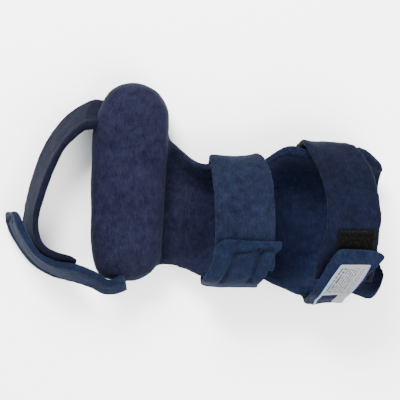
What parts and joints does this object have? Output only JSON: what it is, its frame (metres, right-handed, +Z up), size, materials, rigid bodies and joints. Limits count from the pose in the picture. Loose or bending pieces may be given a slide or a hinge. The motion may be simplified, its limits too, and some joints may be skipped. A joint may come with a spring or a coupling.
{
  "type": "resting hand splint",
  "caption": "Padded resting hand splint: forearm trough with palm roll, overlapping wrist and forearm closures and a finger loop, for a right hand.",
  "frame": {"origin": "on the surface that the splint rests on, under the wrist closure", "axes": "+X from the fingers to the elbow, +Y towards the little finger, +Z up to the back of the hand"},
  "size_m": [0.2494, 0.1464, 0.068],
  "materials": {
    "navy_fabric": "brushed terry cloth laminated on foam, matt",
    "black_hook": "black hook tape, rough",
    "label_cloth": "woven off-white label, slightly glossy"
  },
  "bodies": {
    "root": {"splint_pad": "navy_fabric", "wrist_strap": "navy_fabric", "wrist_tab": "navy_fabric", "forearm_strap": "navy_fabric", "forearm_hook_patch": "black_hook", "forearm_tab": "navy_fabric", "label": "label_cloth", "finger_band": "navy_fabric", "finger_tab": "navy_fabric"}
  },
  "joints": []
}
